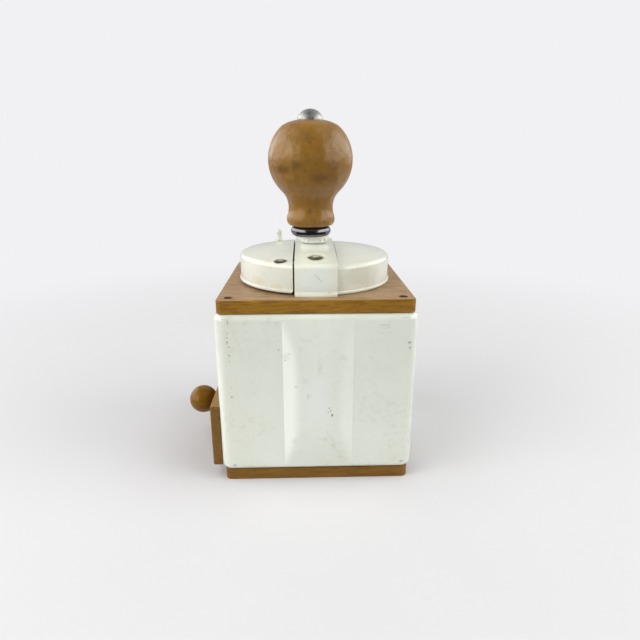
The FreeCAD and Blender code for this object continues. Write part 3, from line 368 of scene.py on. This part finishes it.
# Where the strap's top is painted bright, a painted highlight against the shade that the crank arm and knob
# cast on it, and where its front wall is a cooler cream: place, reach, colour and strength.
STRAP_WASHES = [
    ((0, -15, 145), (14, 18, 4), STRAP_TOP_HIGHLIGHT, 0.9),
    ((0, -51, 131), (15, 5, 13), STRAP_COOL, 0.6),
]
# The scratch on the strap's front wall, in millimetres: its ends across and up, and how far each tapers off.
STRAP_SCRATCH = ((-0.7, 134.0), (4.0, 129.2))
SCRATCH_TAPER = 0.3
# How far from its middle the scratch fades, and where the strap's front wall begins, in metres.
SCRATCH_EDGE = (0.00005, 0.00035)
STRAP_FRONT = (-0.0500, -0.0515)

# The dirt and painted shade in the dimples round the screws of the strap and the lid: place and radius, in
# millimetres.
SCREW_DIRT_AND_SHADE = [((0, 38, 142), 5.0), ((0, -38, 142), 5.0), ((-21.3, -39.3, 140), 4.6)]
# How far round its middle the lid's finger pin is dull, in millimetres.
PIN_REACH = (4, 4, 9)


def enamel():
    """Glossy cream enamel: softly uneven, yellowed in places, with smudges, specks and dark chips, and with
    painted highlights and painted shade.
    """
    paint = Paint("enamel", CREAM, roughness=0.25, sockets={"Coat Weight": 0.9, "Coat Roughness": 0.17})
    haze = paint.noise(size=0.02, detail=3)
    inside, flank, end = panel_slopes(paint)
    tint = enamel_ground(paint, haze)
    tint = case_light(paint, tint, flank)
    tint = case_wear_and_shade(paint, tint)
    paint.color(drum_wear_light_and_shade(paint, tint))
    paint.roughness(paint.fade(haze, low=0.3, high=0.75, first=0.30, last=0.38))
    soft = panel_normal(paint, inside, flank, end)
    paint.bump(paint.noise(size=0.03, detail=1), distance=0.0003, strength=0.3, normal=soft)
    paint.feed(paint.shader.inputs["Coat Normal"], soft)
    return paint


def enamel_ground(paint, haze):
    """The two creams of the case and the drum, with soft clouds, yellowed patches, haze and dust."""
    tint = paint.mix(paint.fade(paint.axis("Z"), *DRUM_STARTS), CREAM, DRUM_CREAM)
    cloud = paint.patches(size=0.06, low=0.3, high=0.7, detail=3)
    tint = paint.mix(paint.math("MULTIPLY", cloud, 0.3), tint, CLOUD_CREAM)
    yellowed = paint.patches(size=0.04, low=0.3, high=0.8, strength=0.12, detail=2)
    tint = paint.mix(yellowed, tint, YELLOWED)
    tint = paint.mix(paint.fade(haze, low=0.2, high=0.9, last=0.1), tint, GRIME_AND_SHADE)
    dust = paint.patches(size=0.004, low=0.48, high=0.72, strength=0.2, detail=6, roughness=0.7)
    return paint.mix(paint.math("MULTIPLY", dust, cloud), tint, SMUDGE_AND_SHADE)


def case_light(paint, tint, flank):
    """Painted light on the case: painted highlights on the flanks of its panel and on its left front corner,
    and a cooler cream on its middle.
    """
    share = paint.fade(paint.axis("X"), *BETWEEN_FLANKS, first=1.0, last=RIGHT_SHARE)
    # A painted highlight on the panel's flanks, weaker on the right one.
    tint = paint.mix(paint.math("MULTIPLY", flank, share), tint, scaled(CREAM, FLANK_HIGHLIGHT_GAIN))
    for spot, reach, color, strength, ragged, core in CASE_WASHES:
        tint = paint.stain(tint, spot, reach, color, strength, ragged=ragged, size=0.02, core=core)
    return tint


def case_wear_and_shade(paint, tint):
    """Specks all over, flakes along the edges, and the smudges, chips, worn oval and painted shade on the
    front.
    """
    specks = paint.patches(size=0.0016, low=0.765, high=0.80, strength=0.45, detail=2)
    tint = paint.mix(specks, tint, CHIP_AND_SHADE)
    flakes = paint.patches(size=0.0018, low=0.55, high=0.61, strength=0.6, detail=4, roughness=0.6)
    tint = paint.mix(paint.math("MULTIPLY", edge_mask(paint), flakes), tint, CHIP_AND_SHADE)
    rubs = paint.fade(paint.noise(size=0.0024, detail=6, roughness=0.7), low=0.40, high=0.68, first=0.1)

    def front_blot(across, up, wide, high, **shape):
        return paint.near((across, FRONT, up), (wide, BLOT_DEPTH, high), **shape)

    for *where, strength in SMUDGES_AND_SHADE:
        blot = front_blot(*where, ragged=0.6, size=0.004, core=0.0)
        tint = paint.mix(paint.math("MULTIPLY", blot, rubs, strength), tint, SMUDGE_AND_SHADE)
    for *where, strength in CHIPS_AND_SHADE:
        blot = front_blot(*where, ragged=0.5, size=0.0012)
        tint = paint.mix(paint.math("MULTIPLY", blot, strength), tint, CHIP_AND_SHADE)
    outlines = [front_blot(*OVAL_PLACE, *halves, ragged=0.15) for halves in OVAL]
    return paint.mix(paint.math("MULTIPLY", paint.math("SUBTRACT", *outlines), rubs), tint, GRIME_AND_SHADE)


def edge_mask(paint):
    """Where the enamel flakes: along the case's lower edge and on stretches of its upright front edges."""
    up = paint.axis("Z")
    mask = paint.math("MULTIPLY", paint.fade(up, *FLAKES_FROM_ABOVE), paint.fade(up, *FLAKES_FROM_BELOW))
    for across, middle, wide, high in KNOCKED:
        stretch = paint.near((across, FRONT, middle), (wide, KNOCK_DEPTH, high), ragged=0.3, core=0.3)
        mask = paint.math("MAXIMUM", mask, stretch)
    return mask


def drum_wear_light_and_shade(paint, tint):
    """Stains and painted shade, dirt and painted shade round the screws, a painted highlight on the strap's
    top and a cooler cream on its front wall, the strap's scratch, and the dull finger pin.
    """
    for spot, reach, color, strength in TOP_WEAR_AND_SHADE:
        tint = paint.stain(tint, spot, reach, color, strength, ragged=0.5, size=0.0015)
    # Dirt and painted shade in the sunk dimples round the screws.
    for spot, radius in SCREW_DIRT_AND_SHADE:
        tint = paint.stain(tint, spot, (radius, radius, BLOT_DEPTH), DIMPLE_DIRT_AND_SHADE, strength=0.85, ragged=0.2)
    # A painted highlight on the strap's top, and a cooler cream on its front wall.
    for spot, reach, color, strength in STRAP_WASHES:
        tint = paint.stain(tint, spot, reach, color, strength, ragged=0.2, size=0.01, core=0.3)
    tint = paint.mix(strap_scratch(paint), tint, SCRATCH)
    low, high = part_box("lid_pin")
    pin = (Vector(low) + Vector(high)) / 2 / MM
    return paint.stain(tint, pin, PIN_REACH, PIN_GRIME, strength=0.6, ragged=0.1, core=0.7)


def strap_scratch(paint):
    """A thin slanting scratch on the strap's front wall."""
    (left, high), (right, low) = STRAP_SCRATCH
    slope = (low - high) / (right - left)
    across = paint.axis("X")
    line = paint.line(across, slope, (high - slope * left) * MM)
    off = paint.math("ABSOLUTE", paint.math("SUBTRACT", paint.axis("Z"), line))
    thin = paint.fade(off, *SCRATCH_EDGE, first=1.0, last=0.0)
    begin = paint.fade(across, (left - SCRATCH_TAPER) * MM, left * MM)
    end = paint.fade(across, right * MM, (right + SCRATCH_TAPER) * MM, first=1.0, last=0.0)
    front = paint.fade(paint.axis("Y"), *STRAP_FRONT)
    breaks = paint.fade(paint.noise(size=0.0015, detail=2), low=0.40, high=0.5, first=0.2, last=0.8)
    return paint.math("MULTIPLY", thin, begin, end, front, breaks)


def panel_slopes(paint):
    """Where the front's embossed panel is, and how much of a flank's or an end's slope is at each point. The
    slopes run into each other softly, as they do in pressed sheet."""

    def inwards(source, folds, reach):
        low, high = (
            paint.math("DIVIDE", paint.math("SUBTRACT", source, fold * MM), sign * reach * MM)
            for fold, sign in zip(folds, (1, -1))
        )
        return paint.math("MINIMUM", low, high)

    side = inwards(paint.axis("X"), PANEL_SIDES, PANEL_FLANK)
    tip = inwards(paint.axis("Z"), PANEL_ENDS, PANEL_END)
    front = paint.fade(paint.axis("Y"), *PANEL_FRONT)
    inside = paint.math(
        "MULTIPLY", front, paint.fade(side, *OUTLINE_SETS_IN), paint.fade(tip, *OUTLINE_SETS_IN)
    )
    share = paint.fade(paint.math("SUBTRACT", tip, side), *FLANK_TAKES_OVER)
    rest = paint.fade(share, low=0.0, high=1.0, first=1.0, last=0.0)
    flank = paint.math("MULTIPLY", inside, paint.fade(side, *FLANK_RUNS_OUT, first=1.0, last=0.0), share)
    end = paint.math("MULTIPLY", inside, paint.fade(tip, *END_RUNS_OUT, first=1.0, last=0.0), rest)
    return inside, flank, end


def panel_normal(paint, inside, flank, end):
    """The case's normal, with the ridges between the panel's slopes eased."""

    def tilt(slope, name, folds, reach):
        middle = sum(folds) / 2 * MM
        sign = paint.math("SIGN", paint.math("SUBTRACT", paint.axis(name), middle))
        return paint.math("MULTIPLY", slope, sign, PANEL_RISE / reach)

    made = paint.node("ShaderNodeCombineXYZ")
    paint.feed(made.inputs["X"], tilt(flank, "X", PANEL_SIDES, PANEL_FLANK))
    paint.feed(made.inputs["Y"], -1.0)
    paint.feed(made.inputs["Z"], tilt(end, "Z", PANEL_ENDS, PANEL_END))
    joined = paint.node("ShaderNodeMix", data_type="VECTOR")
    paint.feed(joined.inputs["Factor"], inside)
    paint.feed(joined.inputs["A"], paint.normal)
    paint.feed(joined.inputs["B"], made.outputs["Vector"])
    return paint.vector("NORMALIZE", joined.outputs["Result"])


# Wood

# How close noise is packed on each axis, loosely along the grain, by the axis that the grain runs along.
ALONG_GRAIN = {"X": (0.09, 1, 1), "Y": (1, 0.09, 1), "Z": (1, 1, 0.12)}
# How much closer the fine flecks are packed, along the grain and across it.
FLECKS_ALONG = 4
FLECKS_ACROSS = 1.7
# What the dark and the light bands of the grain multiply the wood's colour by.
DARK_GRAIN = (0.62, 0.55, 0.4, 1)
LIGHT_GRAIN = (1.3, 1.25, 1.1, 1)

# Roughness, coat and coat roughness.
OILED = (0.5, 0.0, 0.25)
POLISHED = (0.38, 0.3, 0.06)
VARNISHED = (0.36, 0.3, 0.28)

# Each wood's colours, on a face that looks up, on a side along the grain and on end grain. A face that looks
# up is lighter and greyer, partly dust and partly a painted reflection of the bright room above.
TOP_COLORS = (linear(164, 134, 102), linear(144, 104, 28), linear(126, 92, 44))
BASE_COLORS = (linear(150, 118, 80), linear(126, 89, 28), linear(112, 79, 28))
POST_COLORS = (linear(160, 130, 96), linear(140, 103, 60), linear(140, 103, 60))
DRAWER_COLORS = (linear(150, 116, 72), linear(120, 84, 30), linear(124, 90, 36))
PULL_COLORS = (linear(122, 85, 12), linear(118, 80, 8), linear(118, 80, 8))
KNOB_COLORS = 3 * (linear(130, 93, 32),)

# Beech, by the name of its material: colours, the axis that its grain runs along, the grain's size in
# metres, gloss, figure and specular level.
BEECHES = {
    "beech": (TOP_COLORS, "X", 0.0017, OILED, 1.0, 0.3),
    "beech_base": (BASE_COLORS, "X", 0.0017, OILED, 0.9, 0.3),
    "beech_upright": (POST_COLORS, "Z", 0.0028, OILED, 0.6, 0.3),
    "beech_drawer": (DRAWER_COLORS, "Y", 0.0017, OILED, 0.8, 0.3),
    "beech_pull": (PULL_COLORS, "X", 0.005, POLISHED, 0.6, 0.12),
}


def wood(name, colors, along, grain, gloss, figure, specular):
    """Beech, oiled or varnished. The figure is the strength of the grain."""
    face, edge, end = colors
    roughness, coat, coat_roughness = gloss
    sockets = {"Coat Weight": coat, "Coat Roughness": coat_roughness, "Specular IOR Level": specular}
    paint = Paint(name, face, roughness, sockets)
    stretch = ALONG_GRAIN[along]
    fine = tuple(FLECKS_ALONG * part if part < 1 else FLECKS_ACROSS for part in stretch)
    # Faces that look up take the lighter, greyer colour: partly dust, partly a painted reflection.
    up = paint.fade(paint.facing("Z"), low=0.75, high=0.95)
    body = paint.mix(up, edge, face)
    if along != "Z":
        body = paint.mix(paint.fade(paint.facing(along), low=0.6, high=0.85), body, end)
    wave = paint.noise(grain, detail=5, stretch=stretch, distortion=1.4, roughness=0.62)
    dark = paint.mix(1.0, body, DARK_GRAIN, "MULTIPLY")
    light = paint.mix(1.0, body, LIGHT_GRAIN, "MULTIPLY")
    body = paint.mix(paint.fade(wave, low=0.46, high=0.62, last=0.8 * figure), body, dark)
    body = paint.mix(paint.fade(wave, low=0.44, high=0.30, last=0.7 * figure), body, light)
    flecks = paint.patches(size=0.0009, low=0.60, high=0.70, strength=0.45 * figure, detail=2, stretch=fine)
    body = paint.mix(flecks, body, scaled(edge, 0.5))
    stains = paint.patches(size=0.022, low=0.45, high=0.75, strength=0.3, detail=5, roughness=0.6)
    paint.color(paint.mix(stains, body, dark))
    paint.roughness(paint.fade(wave, low=0.3, high=0.7, first=roughness - 0.06, last=roughness + 0.08))
    paint.bump(paint.noise(size=0.0009, detail=3, stretch=fine), distance=0.00012, strength=0.35)
    return paint


KNOB_RUBBED = linear(160, 124, 76)
KNOB_GOLDEN = linear(140, 98, 12)
KNOB_FRECKLE = linear(88, 58, 24)
KNOB_HANDLED = linear(74, 48, 26)
KNOB_GRAIN = 0.006
KNOB_FIGURE = 0.25

# How far the middle of the knob's ball is below its top, in millimetres.
BALL_DROP = 17.5
# Its dark handling marks: place from the middle of the ball, reach and strength.
KNOB_MARKS = [
    ((-13.0, -14.0, -4.2), (9.0, 9.0, 2.6), 0.55),
    ((-6.5, -18.0, -2.2), (4.0, 6.0, 3.0), 0.5),
    ((10.5, -16.0, -2.0), (4.0, 6.0, 4.5), 0.4),
    ((4.0, -19.0, -8.0), (8.0, 6.0, 3.0), 0.3),
    ((-2.0, -16.0, 10.0), (5.0, 8.0, 4.0), 0.25),
    ((9.2, -15.0, 4.7), (3.4, 7.0, 0.5), 0.75),
    ((12.8, -13.0, 4.0), (2.4, 7.0, 0.45), 0.7),
    ((0.0, 0.0, 18.0), (18.0, 18.0, 7.0), 0.25),
]


def knob_wood():
    """The crank knob's varnished wood, darkened by handling, with dull rubbed patches and soft dents."""
    paint = wood("stained_beech", KNOB_COLORS, "Z", KNOB_GRAIN, VARNISHED, KNOB_FIGURE, specular=0.3)
    low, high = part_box("knob_wood")
    middle = (Vector(low) + Vector(high)) / 2 / MM
    middle.z = high[2] / MM - BALL_DROP
    rubbed = paint.patches(size=0.011, low=0.5, high=0.75, strength=0.5, detail=6, roughness=0.65)
    golden = paint.patches(size=0.017, low=0.5, high=0.7, strength=0.4, detail=4)
    freckles = paint.patches(size=0.0026, low=0.56, high=0.72, strength=0.45, detail=4, roughness=0.6)
    tint = paint.mix(rubbed, paint.tint(), KNOB_RUBBED)
    tint = paint.mix(golden, tint, KNOB_GOLDEN)
    tint = paint.mix(freckles, tint, KNOB_FRECKLE)
    for offset, reach, strength in KNOB_MARKS:
        spot = middle + Vector(offset)
        tint = paint.stain(tint, spot, reach, KNOB_HANDLED, strength, ragged=0.8, size=0.003, core=0.1)
    paint.color(tint)
    dented = paint.bump(paint.noise(size=0.007, detail=2, roughness=0.5), distance=0.0024, strength=0.4)
    paint.feed(paint.shader.inputs["Coat Normal"], dented)
    return paint


# Metal

# Each metal's colour, roughness, strength of its dull patches and, where it isn't just darker, their colour.
METALS = {
    "plated_steel": (linear(160, 158, 164), 0.12, 0.3),
    "plain_steel": (linear(112, 104, 92), 0.4, 0.6, linear(58, 46, 34)),
    "cast_iron": (linear(92, 90, 86), 0.6, 0.5),
    "bronze": (linear(176, 136, 80), 0.4, 0.3),
    "cap_steel": (linear(188, 188, 184), 0.42, 0.2),
    "ring_steel": (linear(118, 116, 121), 0.17, 0.3),
}
SCREW_HEAD = (linear(126, 118, 98), 0.4, 0.6, linear(56, 48, 36))
HEAD_WORN = linear(250, 247, 238)
# How far the middle of a screw head is rubbed bright, across and up, in millimetres.
HEAD_REACH = (2.8, 2.8, 8)


def metal(name, color, roughness, dirt, dirt_color=None):
    """Bare or plated metal with fine scratches and dull patches."""
    paint = Paint(name, color, roughness, sockets={"Metallic": 1.0})
    dull = paint.patches(size=0.003, low=0.45, high=0.7, strength=dirt, detail=6, roughness=0.65)
    paint.color(paint.mix(dull, color, dirt_color or scaled(color, 0.3)))
    lines = paint.noise(size=0.0005, detail=3, stretch=(0.3, 0.3, 1))
    paint.roughness(paint.fade(lines, low=0.3, high=0.7, first=roughness * 0.75, last=roughness * 1.4))
    paint.bump(lines, distance=0.00002, strength=0.3)
    return paint


def head_steel():
    """A screw head that is rubbed bright in its middle and dirty round it."""
    paint = metal("screw_head_steel", *SCREW_HEAD)
    tint = paint.tint()
    for spot, _ in SCREW_DIRT_AND_SHADE:
        tint = paint.stain(tint, spot, HEAD_REACH, HEAD_WORN, ragged=0.6, size=0.0012, core=0.4)
    paint.color(tint)
    return paint


# The paints, by the name of their material.

PAINTS = {"enamel": enamel(), "stained_beech": knob_wood(), "screw_head_steel": head_steel()}
PAINTS.update((name, wood(name, *row)) for name, row in BEECHES.items())
PAINTS.update((name, metal(name, *row)) for name, row in METALS.items())

# A node wears the paint that its material slot in the record names, apart from those listed here.
OWN_PAINT = {
    "base_plate": "beech_base",
    "drawer_front": "beech_drawer",
    "drawer_back": "beech_drawer",
    "drawer_knob": "beech_pull",
    "adjusting_nut": "enamel",
    "knob_bolt": "cap_steel",
    "knob_ferrule": "ring_steel",
    "thrust_washer": "enamel",
    "bridge_screws": "screw_head_steel",
    "lid_pivot_screw": "screw_head_steel",
}
OWN_PAINT.update((name, "beech_upright") for name in frame["nodes"] if name.startswith("corner_post"))


def dress_nodes():
    """Gives every CAD node its paint."""
    slots = {part["node"]: part["material_slot"] for part in frame["record"]["subparts"]}
    for name, node in frame["nodes"].items():
        material = PAINTS[OWN_PAINT.get(name, slots[name])].material
        for slot in node.material_slots:
            slot.link = "DATA"
        if not node.material_slots:
            node.data.materials.append(material)
        for slot in node.material_slots:
            slot.material = material


# The spindle's spring stands on a shoulder of the spindle and pushes up against the strap's bearing, so on
# the mill it gives way by half a millimetre when the spindle is set higher.


def make_spring():
    """A copy of the spring in its place, carried with the spindle, in place of the hidden spring node."""
    node = frame["nodes"]["spindle_spring"]
    coil = bpy.data.objects.new("spring_coil", node.data.copy())
    coil.matrix_world = node.matrix_world.copy()
    bpy.context.scene.collection.objects.link(coil)
    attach(coil, "spindle")
    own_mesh(coil)
    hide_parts("spindle_spring")


# Studio

WHITE = (1, 1, 1, 1)
BACKGROUND = linear(241, 241, 243)
ROOM_GLOW = 0.18

# What shines in reflections alone: the dark room in front, the two light panels, the wall behind the object
# and the ceiling, with the share of it that is left overhead.
DARK_SIDE = 0.06
LEFT_PANEL = 2.6
RIGHT_PANEL = 2.7
WALL = 0.5
CEILING = 0.35
OVERHEAD = 0.4

# Where each of these sets in or ends, in the parts of a direction from the object: across, back and up.
LEFT_EDGE = (-0.45, -0.6)
RIGHT_EDGE = (0.6, 0.68)
PANELS_FOOT = (-0.05, 0.08)
PANELS_HEAD = (0.6, 0.8)
WALL_EDGE = (0.0, 0.3)
CEILING_EDGE = (0.6, 0.75)
OVERHEAD_EDGE = (0.85, 0.95)

# The floor: its colours, its radius in metres, how far from the object it pales into the background, and how
# far off and how far in front it grows dark for bright metal.
FLOOR = linear(217, 216, 217)
FLOOR_CLOUD = scaled(FLOOR, 0.985)
FLOOR_DARK = scaled(WHITE, DARK_SIDE)
FLOOR_RADIUS = 6.0
FLOOR_SIDES = 64
FLOOR_PALES = (0.12, 0.7)
FLOOR_DIMS = (0.13, 0.25)
FLOOR_FRONT = (0.02, -0.05)

# The soft lamps: name, azimuth and elevation in degrees, size in metres and level. All are at one distance
# from the point that they are aimed at.
LAMP_AIM = Vector((0, 0, 0.1))
LAMP_DISTANCE = 1.15
LAMPS = [
    ("left_low", -57, 20, 0.9, 0.73),
    ("right_low", 73, 20, 0.9, 0.62),
    ("left_high", -80, 55, 0.8, 0.42),
    ("right_high", 80, 55, 0.8, 0.37),
    ("back_high", 180, 40, 1.0, 0.22),
]


def floor_paint():
    """A pale ground. Far from the object it takes the background's colour, so no horizon shows, and bright
    metal sees it dark in front."""
    paint = Paint("floor", FLOOR, roughness=0.8)
    clouds = paint.patches(size=0.3, low=0.3, high=0.7, detail=2)
    paint.color(paint.mix(clouds, FLOOR, FLOOR_CLOUD))
    far = paint.vector("LENGTH", paint.place)
    pale = paint.fade(far, *FLOOR_PALES)
    dim = paint.math("MULTIPLY", paint.fade(far, *FLOOR_DIMS), paint.fade(paint.axis("Y"), *FLOOR_FRONT))
    light = paint.node("ShaderNodeLightPath")
    surface = paint.shader.outputs["BSDF"]
    for ray, share, color in (("Is Camera Ray", pale, BACKGROUND), ("Is Glossy Ray", dim, FLOOR_DARK)):
        shine = paint.glow("ShaderNodeEmission", color)
        surface = paint.blend(paint.math("MULTIPLY", share, light.outputs[ray]), surface, shine)
    paint.feed(paint.tree.nodes["Material Output"].inputs["Surface"], surface)
    return paint


def make_floor():
    """A round floor under the object."""
    mesh = bmesh.new()
    bmesh.ops.create_circle(mesh, cap_ends=True, segments=FLOOR_SIDES, radius=FLOOR_RADIUS)
    data = bpy.data.meshes.new("floor")
    mesh.to_mesh(data)
    mesh.free()
    sheet = bpy.data.objects.new("floor", data)
    bpy.context.scene.collection.objects.link(sheet)
    data.materials.append(floor_paint().material)


def make_lamp(name, azimuth, elevation, size, level):
    """A square lamp aimed at the object. The azimuth is counted from the front, to the right. A level of 1
    alone would light a surface that faces it to the colour it is written in."""
    data = bpy.data.lights.new(name, "AREA")
    data.shape = "SQUARE"
    data.size = size
    data.energy = level * math.pi ** 2 * LAMP_DISTANCE ** 2
    turn = math.radians(azimuth)
    rise = math.radians(elevation)
    way = Vector((math.sin(turn) * math.cos(rise), -math.cos(turn) * math.cos(rise), math.sin(rise)))
    lamp = bpy.data.objects.new(name, data)
    lamp.location = LAMP_AIM + LAMP_DISTANCE * way
    lamp.rotation_euler = (-way).to_track_quat("-Z", "Y").to_euler()
    lamp.visible_glossy = False
    bpy.context.scene.collection.objects.link(lamp)


def make_world():
    """The room: pale to the eye, a low even glow as light, and in reflections a dark front between two light
    panels, with a bright wall behind."""
    world = bpy.data.worlds.new("studio")
    world.use_nodes = True
    room = Tree(world.node_tree)
    across, depth, rise = room.split(room.node("ShaderNodeTexCoord").outputs["Generated"])
    head = room.fade(rise, *PANELS_HEAD, first=1.0, last=0.0)
    band = room.math("MULTIPLY", room.fade(rise, *PANELS_FOOT), head)
    left = room.math("MULTIPLY", room.fade(across, *LEFT_EDGE, last=LEFT_PANEL), band)
    right = room.math("MULTIPLY", room.fade(across, *RIGHT_EDGE, last=RIGHT_PANEL), band)
    behind = room.fade(depth, *WALL_EDGE, first=DARK_SIDE, last=WALL)
    ceiling = room.fade(rise, *CEILING_EDGE, last=CEILING)
    above = room.math("MULTIPLY", ceiling, room.fade(rise, *OVERHEAD_EDGE, first=1.0, last=OVERHEAD))
    mirrored = room.math("MAXIMUM", left, right, behind, above)
    light = room.node("ShaderNodeLightPath")
    lit, mirror = (room.glow("ShaderNodeBackground", WHITE, level) for level in (ROOM_GLOW, mirrored))
    unseen = room.blend(light.outputs["Is Glossy Ray"], lit, mirror)
    seen = room.glow("ShaderNodeBackground", BACKGROUND)
    surface = room.blend(light.outputs["Is Camera Ray"], unseen, seen)
    room.feed(room.tree.nodes["World Output"].inputs["Surface"], surface)
    bpy.context.scene.world = world
    bpy.context.scene.view_settings.view_transform = "Standard"


make_camera()
make_floor()
make_world()
for lamp in LAMPS:
    make_lamp(*lamp)
dress_nodes()
make_spring()
